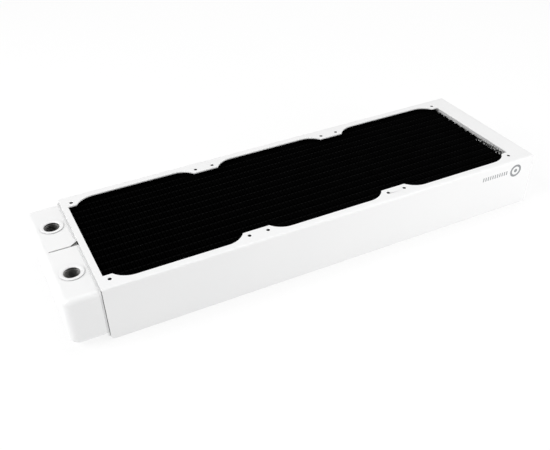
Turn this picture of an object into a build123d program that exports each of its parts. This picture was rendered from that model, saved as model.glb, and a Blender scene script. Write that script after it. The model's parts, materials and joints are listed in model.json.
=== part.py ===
from build123d import *
import os

# Liquid cooling radiator for three 120 mm fans, all sizes in millimetres.
# The origin is the centre of the underside. X runs along the length with the ports at -X,
# Y runs across the width, and +Z is the way that the ports and the upper fan face look.

# Overall size
LENGTH = 400.0
WIDTH = 125.0
HEIGHT = 45.0

# Sheet-metal case
CASE_START_X = -173.0
SHEET = 1.2
BEND_R = 1.5
OPEN_CORNER_R = 3.0

# Fan face: three fan places side by side, and a scalloped air opening around them
FAN_PITCH = 120.0
FAN_COUNT = 3
FAN_MIDDLE_X = 8.0
FAN_HOLE_PITCH = 105.0
FAN_HOLE_R = 1.5
OPENING_START_X = -168.0
OPENING_END_X = 183.0
OPENING_NECK_WIDTH = 95.2
LOBE_LENGTH = 104.0
LOBE_WIDTH = 111.4
LOBE_CORNER_R = 17.5

# Core: flat tubes along X, with a corrugated fin strip in every gap and outside the last tubes
TUBE_COUNT = 14
ROW_PITCH = 8.0
TUBE_THICKNESS = 2.0
TUBE_DEPTH = 36.0
TUBE_WALL = 0.3
TUBE_END_IN_TANK = 1.0
FIN_DEPTH = 38.0
FIN_FOLD_PERIOD = 5.0
FIN_FOLDS = 71
FIN_STOCK = 0.2
FIN_CREST_HALF = 0.6
SIDE_PLATE_SHEET = 0.8

# End tanks and the header plates that the tubes pass through
TANK_WIDTH = 122.0
TANK_DEPTH = 39.6
TANK_WALL = 1.5
HEADER_SHEET = 1.2
HEADER_LIP = 3.15
PORT_HEADER_X = -173.15
PORT_TANK_CORNER_R = 7.0
PORT_TANK_TOP_R = 4.5
PORT_TANK_BOTTOM_R = 5.0
RETURN_HEADER_X = 185.0
RETURN_TANK_END_X = 198.2
RETURN_TANK_EDGE_R = 3.0

# Crease in the port tank's top above the divider, with a notch where it runs in under the case
GROOVE_WIDTH = 1.2
GROOVE_DEPTH = 2.0
GROOVE_END_X = -194.8
CREASE_BULGE_WIDTH = 4.6
NOTCH_START_X = -178.6
NOTCH_SIDE_Y = 4.4
NOTCH_DEPTH = 1.2
DIVIDER_THICKNESS = 1.5

# Ports: two bushings with a G1/4 thread
PORT_X = -185.5
PORT_SPACING = 61.0
THREAD_R = 6.58
COLLAR_R = 9.0
COLLAR_HEIGHT = 0.7
BUSHING_R = 8.0
BUSHING_DEPTH = 11.0
THREAD_CHAMFER = 0.3

# Worked out from the sizes above
CASE_END_X = LENGTH / 2
INNER_HALF_WIDTH = WIDTH / 2 - SHEET
MIDDLE_Z = HEIGHT / 2
TANK_TOP_Z = MIDDLE_Z + TANK_DEPTH / 2
TANK_BOTTOM_Z = MIDDLE_Z - TANK_DEPTH / 2
FIN_TOP_Z = MIDDLE_Z + FIN_DEPTH / 2
FIN_BOTTOM_Z = MIDDLE_Z - FIN_DEPTH / 2
CREASE_BOTTOM_Z = TANK_TOP_Z - GROOVE_DEPTH
FIN_HEIGHT = ROW_PITCH - TUBE_THICKNESS
CORE_HALF_WIDTH = (TUBE_COUNT * ROW_PITCH + FIN_HEIGHT) / 2
PORT_TANK_END_X = -LENGTH / 2
PORT_TANK_MOUTH_X = PORT_HEADER_X - HEADER_SHEET
RETURN_TANK_MOUTH_X = RETURN_HEADER_X + HEADER_SHEET
CORE_START_X = PORT_HEADER_X + HEADER_LIP


def block(x, y, z):
    """A box from its (low, high) limits along each axis."""
    middle = Pos((x[0] + x[1]) / 2, (y[0] + y[1]) / 2, (z[0] + z[1]) / 2)
    return middle * Box(x[1] - x[0], y[1] - y[0], z[1] - z[0])


def edges_where(shape, test):
    """The shape's edges whose middle point passes a test."""
    return [edge for edge in shape.edges() if test(edge.center())]


def close_to(a, b):
    return abs(a - b) < 0.01


def fan_centres():
    """X of each fan place."""
    return [FAN_MIDDLE_X + FAN_PITCH * (i - (FAN_COUNT - 1) / 2) for i in range(FAN_COUNT)]


def row_centres(count):
    """Y of each of a number of rows, evenly spaced about the middle."""
    return [ROW_PITCH * (i - (count - 1) / 2) for i in range(count)]


def fan_face_cut():
    """A cutter for one fan face: the air opening and the screw holes."""
    opening_middle_x = (OPENING_START_X + OPENING_END_X) / 2
    opening_length = OPENING_END_X - OPENING_START_X
    outline = Pos(opening_middle_x, 0) * Rectangle(opening_length, OPENING_NECK_WIDTH)
    for x in fan_centres():
        outline += Pos(x, 0) * RectangleRounded(LOBE_LENGTH, LOBE_WIDTH, LOBE_CORNER_R)
        for place in GridLocations(FAN_HOLE_PITCH, FAN_HOLE_PITCH, 2, 2):
            outline += Pos(x, 0) * place * Circle(FAN_HOLE_R)
    return extrude(outline, 3 * SHEET)


def case_form(start_x, low_z, inset):
    """The case's outer form, or with an inset the space inside its sheet."""
    end_x = CASE_END_X - inset
    side_y = WIDTH / 2 - inset
    top_z = HEIGHT - inset
    form = block((start_x, end_x), (-side_y, side_y), (low_z, top_z))

    def bent(point):
        faces = [close_to(point.X, end_x), close_to(abs(point.Y), side_y), close_to(point.Z, top_z)]
        return sum(faces) == 2 and not close_to(point.X, start_x) and not close_to(point.Z, low_z)

    return fillet(edges_where(form, bent), BEND_R - inset)


def fan_shroud():
    """The folded case: upper fan face, both long walls and the closed end."""
    shell = case_form(CASE_START_X, 0, 0) - case_form(CASE_START_X - SHEET, -SHEET, SHEET)
    shell -= Pos(0, 0, HEIGHT - 2 * SHEET) * fan_face_cut()
    wall_corners = edges_where(shell, lambda p: close_to(p.X, CASE_START_X) and close_to(p.Z, 0))
    return fillet(wall_corners, OPEN_CORNER_R)


def lower_fan_plate():
    """The lower fan face, set between the long walls, with its two free corners rounded."""
    end_x = CASE_END_X - SHEET
    plate = block((CASE_START_X, end_x), (-INNER_HALF_WIDTH, INNER_HALF_WIDTH), (0, SHEET))
    free_corners = plate.edges().filter_by(Axis.Z).group_by(Axis.X)[0]
    plate = fillet(free_corners, OPEN_CORNER_R)
    end_corners = plate.edges().filter_by(Axis.Z).group_by(Axis.X)[-1]
    plate = fillet(end_corners, BEND_R - SHEET)
    return plate - Pos(0, 0, -SHEET) * fan_face_cut()


def tube_section(inset):
    """A flat tube's outer section, or with an inset its bore, looking along X."""
    return Plane.YZ * SlotOverall(TUBE_DEPTH - 2 * inset, TUBE_THICKNESS - 2 * inset, rotation=90)


def tube(y):
    """One flat tube, from inside the port tank to inside the return tank."""
    start = PORT_TANK_MOUTH_X - TUBE_END_IN_TANK
    end = RETURN_TANK_MOUTH_X + TUBE_END_IN_TANK
    wall = tube_section(0) - tube_section(TUBE_WALL)
    return Pos(start, y, MIDDLE_Z) * extrude(wall, end - start)


def header_plate(x, z):
    """A tank's end plate, with a slot for every tube."""
    plate = block((x, x + HEADER_SHEET), (-TANK_WIDTH / 2, TANK_WIDTH / 2), z)
    slot = extrude(tube_section(0), 3 * HEADER_SHEET)
    for y in row_centres(TUBE_COUNT):
        plate -= Pos(x - HEADER_SHEET, y, MIDDLE_Z) * slot
    return plate


def port_header():
    """The port tank's end plate, with a lip at its top and bottom that reaches in under each fan face."""
    plate = header_plate(PORT_TANK_MOUTH_X, (TANK_BOTTOM_Z, TANK_TOP_Z))
    for z in (TANK_BOTTOM_Z, TANK_TOP_Z - HEADER_SHEET):
        plate += block(
            (PORT_HEADER_X, CORE_START_X),
            (-CORE_HALF_WIDTH, CORE_HALF_WIDTH),
            (z, z + HEADER_SHEET),
        )
    return plate - crease_cut()


def fin_strip(y):
    """One corrugated strip, with its flat crests on the tube or side plate at each side."""
    crest_y = FIN_HEIGHT / 2
    inner_half = FIN_CREST_HALF - FIN_STOCK
    upper = []
    lower = []
    for fold in range(FIN_FOLDS):
        crest = FIN_FOLD_PERIOD * (fold + 0.25)
        trough = FIN_FOLD_PERIOD * (fold + 0.75)
        upper += [(crest - FIN_CREST_HALF, crest_y), (crest + FIN_CREST_HALF, crest_y)]
        upper += [(trough - inner_half, FIN_STOCK - crest_y), (trough + inner_half, FIN_STOCK - crest_y)]
        lower += [(crest - inner_half, crest_y - FIN_STOCK), (crest + inner_half, crest_y - FIN_STOCK)]
        lower += [(trough - FIN_CREST_HALF, -crest_y), (trough + FIN_CREST_HALF, -crest_y)]
    outline = make_face(Polyline(*upper, *reversed(lower), close=True))
    return Pos(CORE_START_X, y, FIN_BOTTOM_Z) * extrude(outline, FIN_DEPTH, dir=(0, 0, 1))


def side_plate(side):
    """A channel that backs the outermost fin strip, with its two flanges on the case wall."""
    x = (CORE_START_X, RETURN_HEADER_X)
    channel = block(x, (CORE_HALF_WIDTH, INNER_HALF_WIDTH), (FIN_BOTTOM_Z, FIN_TOP_Z))
    channel -= block(
        x,
        (CORE_HALF_WIDTH + SIDE_PLATE_SHEET, WIDTH / 2),
        (FIN_BOTTOM_Z + SIDE_PLATE_SHEET, FIN_TOP_Z - SIDE_PLATE_SHEET),
    )
    return channel if side > 0 else mirror(channel, Plane.XZ)


def tank_form(end_x, mouth_x, radii, inset):
    """A tank's outer form, or with an inset its hollow: rounded everywhere but at the mouth."""
    corner_r, top_r, bottom_r = [radius - inset for radius in radii]
    side_y = TANK_WIDTH / 2 - inset
    top_z = TANK_TOP_Z - inset
    bottom_z = TANK_BOTTOM_Z + inset
    end_x += inset if mouth_x > end_x else -inset
    form = block(sorted((end_x, mouth_x)), (-side_y, side_y), (bottom_z, top_z))
    form = fillet(
        edges_where(form, lambda p: close_to(p.X, end_x) and close_to(abs(p.Y), side_y)), corner_r
    )
    form = fillet(
        edges_where(form, lambda p: close_to(p.Z, top_z) and not close_to(p.X, mouth_x)), top_r
    )
    return fillet(
        edges_where(form, lambda p: close_to(p.Z, bottom_z) and not close_to(p.X, mouth_x)), bottom_r
    )


def tank_shell(end_x, mouth_x, radii):
    """A hollow tank that is open at its mouth."""
    return tank_form(end_x, mouth_x, radii, 0) - tank_form(end_x, mouth_x, radii, TANK_WALL)


def crease_cut():
    """A cutter for the groove along the port tank's top and the notch at its header end."""
    groove = block(
        (GROOVE_END_X, CORE_START_X),
        (-GROOVE_WIDTH / 2, GROOVE_WIDTH / 2),
        (CREASE_BOTTOM_Z, HEIGHT),
    )
    notch = Polyline(
        (NOTCH_START_X, -GROOVE_WIDTH / 2),
        (CORE_START_X, -GROOVE_WIDTH / 2),
        (CORE_START_X, NOTCH_SIDE_Y),
        (CASE_START_X, NOTCH_SIDE_Y),
        (NOTCH_START_X, GROOVE_WIDTH / 2),
        close=True,
    )
    return groove + Pos(0, 0, TANK_TOP_Z - NOTCH_DEPTH) * extrude(make_face(notch), HEIGHT, dir=(0, 0, 1))


def port_tank():
    """The tank with both ports, creased along the middle of its top."""
    tank = tank_shell(
        PORT_TANK_END_X,
        PORT_TANK_MOUTH_X,
        (PORT_TANK_CORNER_R, PORT_TANK_TOP_R, PORT_TANK_BOTTOM_R),
    )
    tank += block(
        (PORT_TANK_END_X + TANK_WALL, PORT_TANK_MOUTH_X),
        (-CREASE_BULGE_WIDTH / 2, CREASE_BULGE_WIDTH / 2),
        (CREASE_BOTTOM_Z - TANK_WALL, TANK_TOP_Z - TANK_WALL),
    )
    tank -= crease_cut()
    for side in (-1, 1):
        tank -= Pos(PORT_X, side * PORT_SPACING / 2, TANK_TOP_Z) * Cylinder(BUSHING_R, 4 * TANK_WALL)
    return tank


def tank_divider():
    """The wall across the port tank that sends the coolant down one half of the tubes."""
    space = tank_form(
        PORT_TANK_END_X,
        PORT_TANK_MOUTH_X,
        (PORT_TANK_CORNER_R, PORT_TANK_TOP_R, PORT_TANK_BOTTOM_R),
        TANK_WALL,
    )
    plate = block(
        (PORT_TANK_END_X, PORT_TANK_MOUTH_X),
        (-DIVIDER_THICKNESS / 2, DIVIDER_THICKNESS / 2),
        (0, CREASE_BOTTOM_Z - TANK_WALL),
    )
    return space & plate


def port_bushing(y):
    """One port: a collar on the tank's top and a threaded sleeve below it."""
    outline = Polyline(
        (THREAD_R + THREAD_CHAMFER, COLLAR_HEIGHT),
        (COLLAR_R, COLLAR_HEIGHT),
        (COLLAR_R, 0),
        (BUSHING_R, 0),
        (BUSHING_R, -BUSHING_DEPTH),
        (THREAD_R, -BUSHING_DEPTH),
        (THREAD_R, COLLAR_HEIGHT - THREAD_CHAMFER),
        close=True,
    )
    return Pos(PORT_X, y, TANK_TOP_Z) * revolve(Plane.XZ * make_face(outline), Axis.Z)


def return_tank():
    """The tank at the closed end, where the coolant turns back."""
    radii = (RETURN_TANK_EDGE_R, RETURN_TANK_EDGE_R, RETURN_TANK_EDGE_R)
    return tank_shell(RETURN_TANK_END_X, RETURN_TANK_MOUTH_X, radii)


def nodes():
    """Every piece of the radiator by its node name."""
    pieces = {
        "fan_shroud": fan_shroud(),
        "lower_fan_plate": lower_fan_plate(),
        "port_tank": port_tank(),
        "tank_divider": tank_divider(),
        "inlet_bushing": port_bushing(-PORT_SPACING / 2),
        "outlet_bushing": port_bushing(PORT_SPACING / 2),
        "port_header": port_header(),
        "return_header": header_plate(RETURN_HEADER_X, (SHEET, HEIGHT - SHEET)),
        "return_tank": return_tank(),
        "side_plate_near": side_plate(-1),
        "side_plate_far": side_plate(1),
    }
    for number, y in enumerate(row_centres(TUBE_COUNT), 1):
        pieces[f"tube_{number:02d}"] = tube(y)
    for number, y in enumerate(row_centres(TUBE_COUNT + 1), 1):
        pieces[f"fin_strip_{number:02d}"] = fin_strip(y)
    return pieces


os.makedirs("parts", exist_ok=True)
for name, piece in nodes().items():
    export_step(piece, f"parts/{name}.step")
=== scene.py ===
import json
import math
import random

import bpy
from mathutils import Matrix, Vector


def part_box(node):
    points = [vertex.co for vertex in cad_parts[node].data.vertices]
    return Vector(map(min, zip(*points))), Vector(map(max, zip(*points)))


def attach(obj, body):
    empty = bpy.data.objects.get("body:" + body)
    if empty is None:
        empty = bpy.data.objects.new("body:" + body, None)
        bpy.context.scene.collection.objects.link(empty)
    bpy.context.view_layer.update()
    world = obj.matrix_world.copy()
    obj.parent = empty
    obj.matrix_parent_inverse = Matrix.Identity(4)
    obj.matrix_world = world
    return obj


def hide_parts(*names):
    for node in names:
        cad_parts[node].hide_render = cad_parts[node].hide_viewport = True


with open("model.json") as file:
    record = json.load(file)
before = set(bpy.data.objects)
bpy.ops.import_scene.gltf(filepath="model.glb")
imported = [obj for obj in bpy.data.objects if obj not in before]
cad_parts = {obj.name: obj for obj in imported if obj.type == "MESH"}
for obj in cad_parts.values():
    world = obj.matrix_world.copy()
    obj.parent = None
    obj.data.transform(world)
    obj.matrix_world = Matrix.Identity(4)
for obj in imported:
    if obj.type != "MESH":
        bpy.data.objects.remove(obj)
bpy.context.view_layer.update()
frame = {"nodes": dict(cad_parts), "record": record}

# Everything is in metres, in the row's frame: +X away from the ports, +Z up, z 0 at the underside.
# Shader maths works in millimetres in the same frame.
MM = 0.001
RANDOM = random.Random(7)

# ---------------------------------------------------------------- places taken from the frame
CASE_LOW, CASE_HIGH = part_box("fan_shroud")
TANK_LOW, TANK_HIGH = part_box("port_tank")
PORT_HEADER_LOW, PORT_HEADER_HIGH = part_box("port_header")
FINS = [name for name in sorted(frame["nodes"]) if name.startswith("fin_strip_")]
MOUNTS = {mount["name"]: mount for mount in frame["record"]["mounts"]}

# ---------------------------------------------------------------- sizes of the added detail
THREAD_PITCH = 1.337 * MM
THREAD_MAJOR_R = 6.58 * MM
THREAD_MINOR_R = 5.72 * MM
BORE_R = 6.7 * MM
MOUTH_R = 5.9 * MM
SLEEVE_R = 8.0 * MM
COLLAR_LIP = 0.3 * MM
SCREW_PITCH = 0.5 * MM
SCREW_MINOR_R = 1.23 * MM
MOUTH_COAT = 0.1 * MM
FIN_PERIOD = 3.2 * MM
FIN_STOCK = 0.1 * MM
FIN_CREST_HALF = 0.62 * MM
SHEET = 1.2 * MM


# ---------------------------------------------------------------- material helpers
def new_material(name, color, roughness, metallic=0.0, specular=0.5):
    """A material with a Principled shader: the material, its tree and the shader."""
    material = bpy.data.materials.new(name)
    material.use_nodes = True
    shader = material.node_tree.nodes["Principled BSDF"]
    shader.inputs["Base Color"].default_value = (*color, 1.0)
    shader.inputs["Roughness"].default_value = roughness
    shader.inputs["Metallic"].default_value = metallic
    shader.inputs["Specular IOR Level"].default_value = specular
    return material, material.node_tree, shader


def add_node(tree, kind, **settings):
    """A node whose settings are its input sockets' values where it has such a socket."""
    node = tree.nodes.new(kind)
    for key, value in settings.items():
        if key in node.inputs:
            node.inputs[key].default_value = value
        else:
            setattr(node, key, value)
    return node


def feed(tree, socket, value):
    """Links a socket to another node's output, or sets it to a number."""
    if isinstance(value, (int, float)):
        socket.default_value = value
    else:
        tree.links.new(value, socket)


def calc(tree, operation, first, second=0.0):
    """One step of shader maths."""
    node = add_node(tree, "ShaderNodeMath", operation=operation)
    feed(tree, node.inputs[0], first)
    feed(tree, node.inputs[1], second)
    return node.outputs[0]


def millimetres(tree):
    """The surface point's x, y and z in millimetres."""
    place = add_node(tree, "ShaderNodeTexCoord")
    scaled = add_node(tree, "ShaderNodeVectorMath", operation="SCALE", Scale=1000.0)
    split = add_node(tree, "ShaderNodeSeparateXYZ")
    tree.links.new(place.outputs["Object"], scaled.inputs[0])
    tree.links.new(scaled.outputs[0], split.inputs[0])
    return split.outputs["X"], split.outputs["Y"], split.outputs["Z"]


def near(tree, value, middle, half):
    """1 where the value is within half of the middle, and 0 elsewhere."""
    return calc(tree, "LESS_THAN", calc(tree, "ABSOLUTE", calc(tree, "SUBTRACT", value, middle)), half)


def in_box(tree, place, low, high):
    """1 for a surface point inside a box, given in millimetres, and 0 elsewhere."""
    inside = 1.0
    for value, start, end in zip(place, low, high):
        inside = both(tree, near(tree, value, (start + end) / 2, (end - start) / 2), inside)
    return inside


def both(tree, first, second):
    """1 where both masks are 1. It is also a plain product."""
    return calc(tree, "MULTIPLY", first, second)


def either(tree, first, second):
    """1 where at least one mask is 1."""
    return calc(tree, "MAXIMUM", first, second)


def object_noise(tree, scale, detail=3.0, stretch=(1.0, 1.0, 1.0)):
    """Noise in object coordinates, scale in features per metre."""
    place = add_node(tree, "ShaderNodeTexCoord")
    mapping = add_node(tree, "ShaderNodeMapping", Scale=stretch)
    noise = add_node(tree, "ShaderNodeTexNoise", Scale=scale, Detail=detail)
    tree.links.new(place.outputs["Object"], mapping.inputs["Vector"])
    tree.links.new(mapping.outputs["Vector"], noise.inputs["Vector"])
    return noise.outputs["Fac"]


def spread(tree, value, low, high, from_low=0.3, from_high=0.7):
    """The value moved from one range to another, and held inside it."""
    node = add_node(tree, "ShaderNodeMapRange")
    tree.links.new(value, node.inputs["Value"])
    for key, number in (("From Min", from_low), ("From Max", from_high), ("To Min", low), ("To Max", high)):
        node.inputs[key].default_value = number
    return node.outputs["Result"]


def blend_colors(tree, fac, first, second):
    """A mix of two colours, each a triple or another node's output."""
    node = add_node(tree, "ShaderNodeMix", data_type="RGBA")
    factor, a, b = node.inputs[0], node.inputs[6], node.inputs[7]
    tree.links.new(fac, factor)
    for socket, color in ((a, first), (b, second)):
        if isinstance(color, tuple):
            socket.default_value = (*color, 1.0)
        else:
            tree.links.new(color, socket)
    return node.outputs[2]


def bump(tree, height, distance, below=None):
    """A bumped normal, over another one if it is given."""
    node = add_node(tree, "ShaderNodeBump", Distance=distance)
    tree.links.new(height, node.inputs["Height"])
    if below is not None:
        tree.links.new(below, node.inputs["Normal"])
    return node.outputs["Normal"]


# ---------------------------------------------------------------- materials
# The printed mark, in millimetres on the near wall. BAR_SHARE is the printed part of each bar's pitch.
RING_X = 181.5
RING_Z = 35.2
RING_R = 4.7
RING_LINE = 1.9
DOT_R = 1.6
BARS_X = 147.5
BARS_Z = 35.5
BAR_COUNT = 11
BAR_PITCH = 2.4
BAR_SHARE = 0.42
BAR_HEIGHT = 3.6

# The crease in the tank's top and the notch at its end, in millimetres, with depths from the top down
CREASE_END_X = -194.7
NOTCH_START_X = -178.4
CREASE_HALF_WIDTH = 0.58
NOTCH_SIDE_Y = 4.6
CREASE_DEPTH = 2.3
CREASE_RIM = 0.35
NOTCH_RIM = 0.12

# Reach of the core's black on the headers, in millimetres
HEADER_FACE_HALF = 59.0
HEADER_FACE_DEPTH = 0.6
LIP_MARGIN = 0.05
OVERSPRAY_HALF = 61.0
OVERSPRAY_NEAR_Y = -56.0
OVERSPRAY_FAR_Y = -5.0
OVERSPRAY_NEAR_Z = 42.2
OVERSPRAY_FAR_Z = 38.0
SPECK_REACH = 5.0

# Corner of the fins that carries specks of white powder, in millimetres
POWDER_LOW = (179.5, -52.0, 40.5)
POWDER_HIGH = (185.0, -12.0, 42.0)

# Louvres across the fins, in millimetres
ROW_HALF_PITCH = 4.0
LOUVRE_HALF_PITCH = 0.55
LOUVRED_HALF_WIDTH = 2.3

# Paint and metal colours
WHITE_PAINT = (0.81, 0.81, 0.81)
WORN_WHITE = (0.798, 0.8, 0.802)
PRINT_GREY = (0.24, 0.25, 0.26)
# Painted shade: the grey for the groove in the tank's top.
CREASE_SHADE_GREY = (0.48, 0.48, 0.48)
# Painted shade: near-black for the inside walls of the closed tank.
HOLLOW_SHADE_BLACK = (0.012, 0.01, 0.008)
# Painted shade: the grey for the notch at the crease's end, on the tank and the port header.
NOTCH_SHADE = (0.3, 0.298, 0.296)
CORE_BLACK = (0.0012, 0.0012, 0.0013)


def powder_coat(name, marks=()):
    """White powder coat: fine orange peel, slightly uneven gloss and tone, and areas of other colours."""
    material, tree, shader = new_material(name, WHITE_PAINT, 0.36)
    tone = spread(tree, object_noise(tree, 14.0, 2.0), 0.0, 1.0)
    color = blend_colors(tree, tone, WORN_WHITE, WHITE_PAINT)
    for area, area_color in marks:
        color = blend_colors(tree, area(tree), color, area_color)
    tree.links.new(color, shader.inputs["Base Color"])
    tree.links.new(spread(tree, object_noise(tree, 60.0), 0.3, 0.42), shader.inputs["Roughness"])
    fine = bump(tree, object_noise(tree, 900.0, 1.0), 0.01 * MM)
    tree.links.new(bump(tree, object_noise(tree, 260.0, 1.0), 0.03 * MM, below=fine), shader.inputs["Normal"])
    return material


def printed_mark(tree):
    """A plain ring with a dot, and a row of short bars, printed on the near wall by the closed end."""
    x, y, z = millimetres(tree)
    on_wall = calc(tree, "LESS_THAN", y, CASE_LOW.y / MM + 0.4)
    across = calc(tree, "SUBTRACT", x, RING_X)
    up = calc(tree, "SUBTRACT", z, RING_Z)
    radius = calc(tree, "SQRT", calc(tree, "ADD", both(tree, across, across), both(tree, up, up)))
    ring = near(tree, radius, RING_R, RING_LINE / 2)
    dot = calc(tree, "LESS_THAN", radius, DOT_R)
    place = calc(tree, "FRACT", calc(tree, "DIVIDE", calc(tree, "SUBTRACT", x, BARS_X), BAR_PITCH))
    bars = both(tree, calc(tree, "LESS_THAN", place, BAR_SHARE), near(tree, z, BARS_Z, BAR_HEIGHT / 2))
    bars = both(tree, bars, near(tree, x, BARS_X + BAR_COUNT * BAR_PITCH / 2, BAR_COUNT * BAR_PITCH / 2))
    return both(tree, on_wall, either(tree, either(tree, ring, dot), bars))


def tank_hollow(tree):
    """The walls of the tank's hollow, painted near-black as shade inside the closed tank: three overlapping
    boxes that stay clear of its rounded outside.
    """
    place = millimetres(tree)
    end, side = TANK_LOW.x / MM, TANK_HIGH.y / MM
    base, deck = TANK_LOW.z / MM, TANK_HIGH.z / MM
    thin, deep = 1.2, 7.2
    boxes = (
        ((end + thin, deep - side, base + deep), (0.0, side - deep, deck - deep)),
        ((end + deep, thin - side, base + deep), (0.0, side - thin, deck - deep)),
        ((end + deep, deep - side, base + thin), (0.0, side - deep, deck - thin)),
    )
    hollow = in_box(tree, place, *boxes[0])
    for box in boxes[1:]:
        hollow = either(tree, hollow, in_box(tree, place, *box))
    return hollow


def crease(tree):
    """The groove along the tank's top, painted grey as shade in the crease."""
    deck = TANK_HIGH.z / MM
    low = (CREASE_END_X, -CREASE_HALF_WIDTH, deck - CREASE_DEPTH)
    return in_box(tree, millimetres(tree), low, (0.0, CREASE_HALF_WIDTH, deck - CREASE_RIM))


def crease_notch(tree):
    """The notch at the crease's end, painted grey as shade in the recess."""
    deck = TANK_HIGH.z / MM
    low = (NOTCH_START_X, -CREASE_HALF_WIDTH, deck - CREASE_DEPTH)
    return in_box(tree, millimetres(tree), low, (0.0, NOTCH_SIDE_Y, deck - NOTCH_RIM))


def port_header_face(tree):
    """The port header's face behind the core, black up to its two lips."""
    low, high = PORT_HEADER_LOW / MM, PORT_HEADER_HIGH / MM
    lip = SHEET / MM + LIP_MARGIN
    face_low = (low.x + HEADER_FACE_DEPTH, -HEADER_FACE_HALF, low.z + lip)
    return in_box(tree, millimetres(tree), face_low, (high.x, HEADER_FACE_HALF, high.z - lip))


def return_header_overspray(tree):
    """The core's black on the return header, ending in specks that reach higher toward the near wall."""
    _, y, z = millimetres(tree)
    specks = spread(tree, object_noise(tree, 800.0, 5.0), -SPECK_REACH, SPECK_REACH, 0.25, 0.75)
    reach = spread(tree, y, OVERSPRAY_NEAR_Z, OVERSPRAY_FAR_Z, OVERSPRAY_NEAR_Y, OVERSPRAY_FAR_Y)
    sprayed = calc(tree, "LESS_THAN", calc(tree, "ADD", z, specks), reach)
    return both(tree, sprayed, near(tree, y, 0.0, OVERSPRAY_HALF))


def stray_powder(tree):
    """Specks of the case's white powder on the fins' top edges, in the near corner of the closed end."""
    corner = in_box(tree, millimetres(tree), POWDER_LOW, POWDER_HIGH)
    return both(tree, corner, calc(tree, "GREATER_THAN", object_noise(tree, 700.0, 4.0), 0.55))


def core_paint(name, roughness, louvred=False):
    """Thin matte black paint on the core. The fins also have louvres cut across the air's way."""
    material, tree, shader = new_material(name, CORE_BLACK, roughness, specular=0.03)
    tone = spread(tree, object_noise(tree, 90.0, 4.0), 0.0, 1.0)
    color = blend_colors(tree, tone, (0.0007, 0.0007, 0.0008), (0.0017, 0.0017, 0.0018))
    tree.links.new(spread(tree, object_noise(tree, 400.0), roughness - 0.08, roughness + 0.1),
                   shader.inputs["Roughness"])
    grain = bump(tree, object_noise(tree, 1500.0, 2.0), 0.01 * MM)
    if louvred:
        _, y, z = millimetres(tree)
        slats = calc(tree, "PINGPONG", z, LOUVRE_HALF_PITCH)
        from_row = calc(tree, "PINGPONG", y, ROW_HALF_PITCH)
        cut = both(tree, slats, calc(tree, "LESS_THAN", from_row, LOUVRED_HALF_WIDTH))
        grain = bump(tree, cut, 0.25 * MM, below=grain)
        color = blend_colors(tree, stray_powder(tree), color, WHITE_PAINT)
    tree.links.new(color, shader.inputs["Base Color"])
    tree.links.new(grain, shader.inputs["Normal"])
    return material


def plated_metal(name, color, roughness):
    """Dull plated metal, with fine turning marks and uneven gloss."""
    material, tree, shader = new_material(name, color, roughness, metallic=1.0)
    tone = spread(tree, object_noise(tree, 350.0), 0.0, 1.0)
    tree.links.new(blend_colors(tree, tone, tuple(0.8 * part for part in color), color),
                   shader.inputs["Base Color"])
    tree.links.new(spread(tree, object_noise(tree, 500.0), roughness - 0.08, roughness + 0.1),
                   shader.inputs["Roughness"])
    turning = object_noise(tree, 300.0, 2.0, stretch=(1.0, 1.0, 14.0))
    tree.links.new(bump(tree, turning, 0.01 * MM), shader.inputs["Normal"])
    return material


CASE_WHITE = powder_coat("powder_coat_case", [(printed_mark, PRINT_GREY)])
TANK_WHITE = powder_coat(
    "powder_coat_tank", [(tank_hollow, HOLLOW_SHADE_BLACK), (crease, CREASE_SHADE_GREY), (crease_notch, NOTCH_SHADE)]
)
PORT_HEADER_WHITE = powder_coat(
    "powder_coat_port_header", [(port_header_face, CORE_BLACK), (crease_notch, NOTCH_SHADE)]
)
RETURN_HEADER_WHITE = powder_coat("powder_coat_return_header", [(return_header_overspray, CORE_BLACK)])
PLAIN_WHITE = powder_coat("powder_coat_plain")
TUBE_BLACK = core_paint("tube_black_paint", 0.45)
FIN_BLACK = core_paint("fin_black_paint", 0.6, louvred=True)
PORT_METAL = plated_metal("port_thread_metal", (0.34, 0.335, 0.33), 0.36)
# Painted shade: the screw holes' threads are near-black to stand for the dark inside the holes.
SCREW_HOLE_SHADE_METAL = plated_metal("screw_thread_painted_shade", (0.012, 0.012, 0.0125), 0.6)
BRASS = plated_metal("bare_brass", (0.62, 0.46, 0.22), 0.42)


def finish_of(name):
    """The material of a carried-over CAD node."""
    if name == "fan_shroud":
        return CASE_WHITE
    if name == "port_tank":
        return TANK_WHITE
    if name == "port_header":
        return PORT_HEADER_WHITE
    if name == "return_header":
        return RETURN_HEADER_WHITE
    if name.startswith(("tube_", "side_plate")):
        return TUBE_BLACK
    if name == "tank_divider":
        return BRASS
    return PLAIN_WHITE


# ---------------------------------------------------------------- carried-over CAD nodes
def soften_edges(node, width):
    """Rounds a CAD node's sharp edges as paint does, without touching its mesh."""
    weld = node.modifiers.new("weld", "WELD")
    weld.merge_threshold = 0.0005 * MM
    flat = node.modifiers.new("flat_faces", "DECIMATE")
    flat.decimate_type = "DISSOLVE"
    flat.angle_limit = math.radians(0.4)
    edge = node.modifiers.new("edge_radius", "BEVEL")
    edge.width = width
    edge.segments = 2
    edge.limit_method = "ANGLE"
    edge.angle_limit = math.radians(38.0)
    edge.use_clamp_overlap = False
    edge.face_strength_mode = "FSTR_ALL"
    normals = node.modifiers.new("normals", "WEIGHTED_NORMAL")
    normals.keep_sharp = False
    normals.use_face_influence = True


EDGE_WIDTHS = {
    "fan_shroud": 0.28 * MM,
    "lower_fan_plate": 0.28 * MM,
    "port_tank": 0.25 * MM,
    "port_header": 0.25 * MM,
    "return_header": 0.2 * MM,
    "return_tank": 0.2 * MM,
    "side_plate_near": 0.15 * MM,
    "side_plate_far": 0.15 * MM,
}

for name, node in frame["nodes"].items():
    node.data.materials.clear()
    node.data.materials.append(finish_of(name))
    if name in EDGE_WIDTHS:
        soften_edges(node, EDGE_WIDTHS[name])


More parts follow.
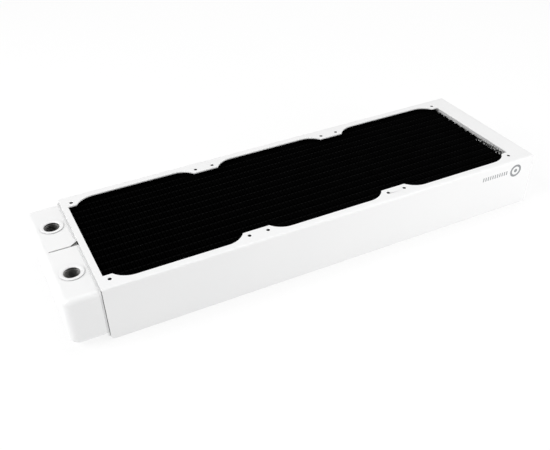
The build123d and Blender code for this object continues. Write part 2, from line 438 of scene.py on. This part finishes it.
# ---------------------------------------------------------------- new pieces
def new_piece(name, points, faces, materials, material_index=None, smooth_angle=40.0):
    """A mesh piece that rides on the radiator."""
    mesh = bpy.data.meshes.new(name)
    mesh.from_pydata(points, [], faces)
    for material in materials:
        mesh.materials.append(material)
    if material_index is not None:
        mesh.polygons.foreach_set("material_index", material_index)
    mesh.validate()
    mesh.polygons.foreach_set("use_smooth", [True] * len(mesh.polygons))
    mesh.set_sharp_from_angle(angle=math.radians(smooth_angle))
    piece = bpy.data.objects.new(name, mesh)
    bpy.context.scene.collection.objects.link(piece)
    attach(piece, "root")
    return piece


def helix_rows(centre, low_z, high_z, pitch, major_r, minor_r, steps):
    """The inside of a tapped hole: one thread's profile carried round and up, running out at both ends."""
    profile = ((0.0, 0.0), (0.1, 0.0), (0.4, 0.95), (0.5, 1.0), (0.6, 0.95), (0.9, 0.0), (1.0, 0.0))
    count = int((high_z - low_z - pitch) / pitch * steps)
    points = []
    faces = []
    for i in range(count + 1):
        angle = 2 * math.pi * i / steps
        run_out = min(1.0, i / (0.5 * steps), (count - i) / (0.5 * steps))
        for along, depth in profile:
            radius = major_r - (major_r - minor_r) * depth * run_out
            z = low_z + pitch * (i / steps + along)
            points.append((centre[0] + radius * math.cos(angle), centre[1] + radius * math.sin(angle), z))
    width = len(profile)
    for i in range(count):
        for j in range(width - 1):
            a = i * width + j
            faces.append((a, a + 1, a + 1 + width, a + width))
    return points, faces


def lathe_rows(centre, outline, steps):
    """A closed outline of (radius, z) turned about the vertical through the centre."""
    points = []
    for i in range(steps):
        angle = 2 * math.pi * i / steps
        for radius, z in outline:
            points.append((centre[0] + radius * math.cos(angle), centre[1] + radius * math.sin(angle), z))
    width = len(outline)
    faces = []
    for i in range(steps):
        for j in range(width):
            k = (j + 1) % width
            here, there = i * width, (i + 1) % steps * width
            faces.append((here + j, there + j, there + k, here + k))
    return points, faces


def joined(parts):
    """Several (points, faces) sets as one, with each face's material index taken from its set."""
    points = []
    faces = []
    index = []
    for more_points, more_faces, material_index in parts:
        offset = len(points)
        points += more_points
        faces += [tuple(corner + offset for corner in face) for face in more_faces]
        index += material_index
    return points, faces, index


def port_bushing(name, node):
    """A white collar with a shadow gap under its lip and a coned mouth, over a bare threaded sleeve."""
    low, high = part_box(node)
    centre = ((low.x + high.x) / 2, (low.y + high.y) / 2)
    collar_r = (high.x - low.x) / 2
    top, deck = high.z, TANK_HIGH.z
    outline = [
        (BORE_R, low.z),
        (SLEEVE_R, low.z),
        (SLEEVE_R, deck - 0.2 * MM),
        (collar_r - 0.5 * MM, deck + 0.02 * MM),
        (collar_r - 0.5 * MM, top - COLLAR_LIP),
        (collar_r - 0.06 * MM, top - COLLAR_LIP),
        (collar_r, top - COLLAR_LIP + 0.06 * MM),
        (collar_r, top - 0.12 * MM),
        (collar_r - 0.04 * MM, top - 0.04 * MM),
        (collar_r - 0.14 * MM, top),
        (MOUTH_R + 0.9 * MM, top),
        (MOUTH_R + 0.7 * MM, top - 0.07 * MM),
        (MOUTH_R + 0.05 * MM, top - 0.68 * MM),
        (MOUTH_R, top - 0.8 * MM),
        (BORE_R, top - 0.9 * MM),
    ]
    painted = range(5, 13)
    points, faces = lathe_rows(centre, outline, 96)
    index = [0 if i % len(outline) in painted else 1 for i in range(len(faces))]
    thread_points, thread_faces = helix_rows(
        centre, low.z, top - 0.75 * MM, THREAD_PITCH, THREAD_MAJOR_R, THREAD_MINOR_R, 64
    )
    points, faces, index = joined(
        [(points, faces, index), (thread_points, thread_faces, [1] * len(thread_faces))]
    )
    piece = new_piece(name, points, faces, [PLAIN_WHITE, PORT_METAL], index)
    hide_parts(node)


def screw_threads(name, mounts, face_z, inward):
    """One fan face's tapped screw holes: a painted mouth on each, and threads in the sheet in near-black
    metal, painted shade inside the holes.
    """
    parts = []
    for mount in mounts:
        sizes = mount["dims"]
        hole_r = sizes["hole_r_mm"] * MM
        for across, along in ((-0.5, -0.5), (-0.5, 0.5), (0.5, -0.5), (0.5, 0.5)):
            centre = (
                mount["pos_m"][0] + across * sizes["spacing_x_mm"] * MM,
                mount["pos_m"][1] + along * sizes["spacing_y_mm"] * MM,
            )
            outline = [
                (hole_r, face_z + 0.22 * MM * inward),
                (hole_r - MOUTH_COAT, face_z + 0.27 * MM * inward),
                (hole_r - MOUTH_COAT, face_z + 0.33 * MM * inward),
                (hole_r, face_z + 0.38 * MM * inward),
            ]
            points, faces = lathe_rows(centre, outline, 28)
            parts.append((points, faces, [0] * len(faces)))
            ends = sorted((face_z + 0.25 * MM * inward, face_z + SHEET * inward))
            points, faces = helix_rows(centre, *ends, SCREW_PITCH, hole_r, SCREW_MINOR_R, 28)
            parts.append((points, faces, [1] * len(faces)))
    points, faces, index = joined(parts)
    new_piece(name, points, faces, [PLAIN_WHITE, SCREW_HOLE_SHADE_METAL], index)


def fin_centre_line(start, end, crest_y):
    """The fold line of a fin strip: round crests and troughs on the tubes, joined by straight walls."""
    bend = ((-1.0, 0.84), (-0.8, 0.95), (-0.4, 1.0), (0.4, 1.0), (0.8, 0.95), (1.0, 0.84))
    line = []
    half = FIN_PERIOD / 2
    count = int((end - start) / half)
    slack = (end - start - count * half) / 2
    for i in range(count):
        side = 1 if i % 2 == 0 else -1
        middle = start + slack + half * (i + 0.5) + RANDOM.uniform(-0.09, 0.09) * MM
        for along, up in bend:
            line.append((middle + along * FIN_CREST_HALF, side * up * crest_y))
    return line


def fin_strip(node):
    """One folded strip of thin louvred stock, in the space of its CAD node."""
    low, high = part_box(node)
    middle_y = (low.y + high.y) / 2
    crest_y = (high.y - low.y) / 2 - FIN_STOCK / 2
    line = fin_centre_line(low.x, high.x, crest_y)
    points = []
    for i, (x, y) in enumerate(line):
        before = Vector(line[max(i - 1, 0)])
        after = Vector(line[min(i + 1, len(line) - 1)])
        along = (after - before).normalized()
        side = Vector((-along.y, along.x)) * FIN_STOCK / 2
        for z in (low.z, high.z):
            points.append((x + side.x, middle_y + y + side.y, z))
            points.append((x - side.x, middle_y + y - side.y, z))
    faces = [(0, 2, 3, 1)]
    for i in range(len(line) - 1):
        a = 4 * i
        b = a + 4
        faces += [(a, b, b + 2, a + 2), (a + 1, a + 3, b + 3, b + 1)]
        faces += [(a, a + 1, b + 1, b), (a + 2, b + 2, b + 3, a + 3)]
    faces.append((b, b + 1, b + 3, b + 2))
    piece = new_piece(node.replace("strip", "louvred"), points, faces, [FIN_BLACK])
    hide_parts(node)


for side in ("inlet", "outlet"):
    port_bushing(f"{side}_port_collar_and_thread", f"{side}_bushing")
for name in FINS:
    fin_strip(name)
for face, face_z, inward in (("upper", CASE_HIGH.z, -1), ("lower", 0.0, 1)):
    holes = [mount for name, mount in MOUNTS.items() if name.startswith(f"{face}_fan_holes")]
    screw_threads(f"{face}_screw_threads", holes, face_z, inward)


# ---------------------------------------------------------------- floor, light and camera
def floor():
    """A wide white floor just under the object, a little lit from below so that it stays plain."""
    mesh = bpy.data.meshes.new("floor")
    half = 6.0
    corners = [(-half, -half, 0), (half, -half, 0), (half, half, 0), (-half, half, 0)]
    mesh.from_pydata(corners, [], [(0, 1, 2, 3)])
    plane = bpy.data.objects.new("floor", mesh)
    plane.location.z = -0.05 * MM
    bpy.context.scene.collection.objects.link(plane)
    material, tree, shader = new_material("floor_paper", (0.22, 0.22, 0.22), 0.9, specular=0.0)
    shader.inputs["Emission Color"].default_value = (1.0, 1.0, 1.0, 1.0)
    shader.inputs["Emission Strength"].default_value = 0.76
    mesh.materials.append(material)


def softbox(name, place, target, size, power):
    """A soft rectangular lamp that faces its target."""
    light = bpy.data.lights.new(name, "AREA")
    light.shape = "RECTANGLE"
    light.size, light.size_y = size
    light.energy = power
    lamp = bpy.data.objects.new(name, light)
    lamp.location = place
    lamp.rotation_mode = "QUATERNION"
    lamp.rotation_quaternion = (Vector(target) - Vector(place)).to_track_quat("-Z", "Y")
    bpy.context.scene.collection.objects.link(lamp)


def studio():
    """An even white surround and soft lamps: overhead, two at the port end, and one at the near wall."""
    world = bpy.data.worlds.new("studio")
    bpy.context.scene.world = world
    world.use_nodes = True
    sky = world.node_tree.nodes["Background"]
    sky.inputs["Color"].default_value = (1.0, 1.0, 1.0, 1.0)
    sky.inputs["Strength"].default_value = 0.41
    softbox("overhead", (0.5, 0.3, 1.4), (0.0, 0.0, 0.0), (1.2, 1.2), 9.7)
    softbox("port_side", (-1.1, 0.1, 0.45), (-0.2, 0.0, 0.02), (0.9, 0.6), 3.3)
    softbox("high_port_side", (-1.3, 0.1, 1.1), (0.1, 0.0, 0.03), (1.1, 1.1), 12.8)
    softbox("near_side", (0.37, -0.62, 0.2), (0.1, -0.06, 0.02), (0.5, 0.3), 2.2)
    bpy.context.scene.view_settings.view_transform = "Standard"


def camera():
    """The camera, above the ports' end and the near long wall."""
    azimuth, elevation, roll = (math.radians(a) for a in (-24.69, 38.3, -2.01))
    back = Vector((math.sin(azimuth) * math.cos(elevation), -math.cos(azimuth) * math.cos(elevation),
                   math.sin(elevation)))
    right = Vector((0, 0, 1)).cross(back).normalized()
    up = back.cross(right)
    tilted_right = math.cos(roll) * right + math.sin(roll) * up
    tilted_up = math.cos(roll) * up - math.sin(roll) * right
    data = bpy.data.cameras.new("camera")
    data.lens = 46.29
    data.shift_x = 0.0314
    data.shift_y = 0.064
    data.clip_start = 0.01
    eye = bpy.data.objects.new("camera", data)
    turn = Matrix((tilted_right, tilted_up, back)).transposed()
    eye.matrix_world = Matrix.Translation((-0.2277, -0.4308, 0.3487)) @ turn.to_4x4()
    bpy.context.scene.collection.objects.link(eye)
    bpy.context.scene.camera = eye


floor()
studio()
camera()
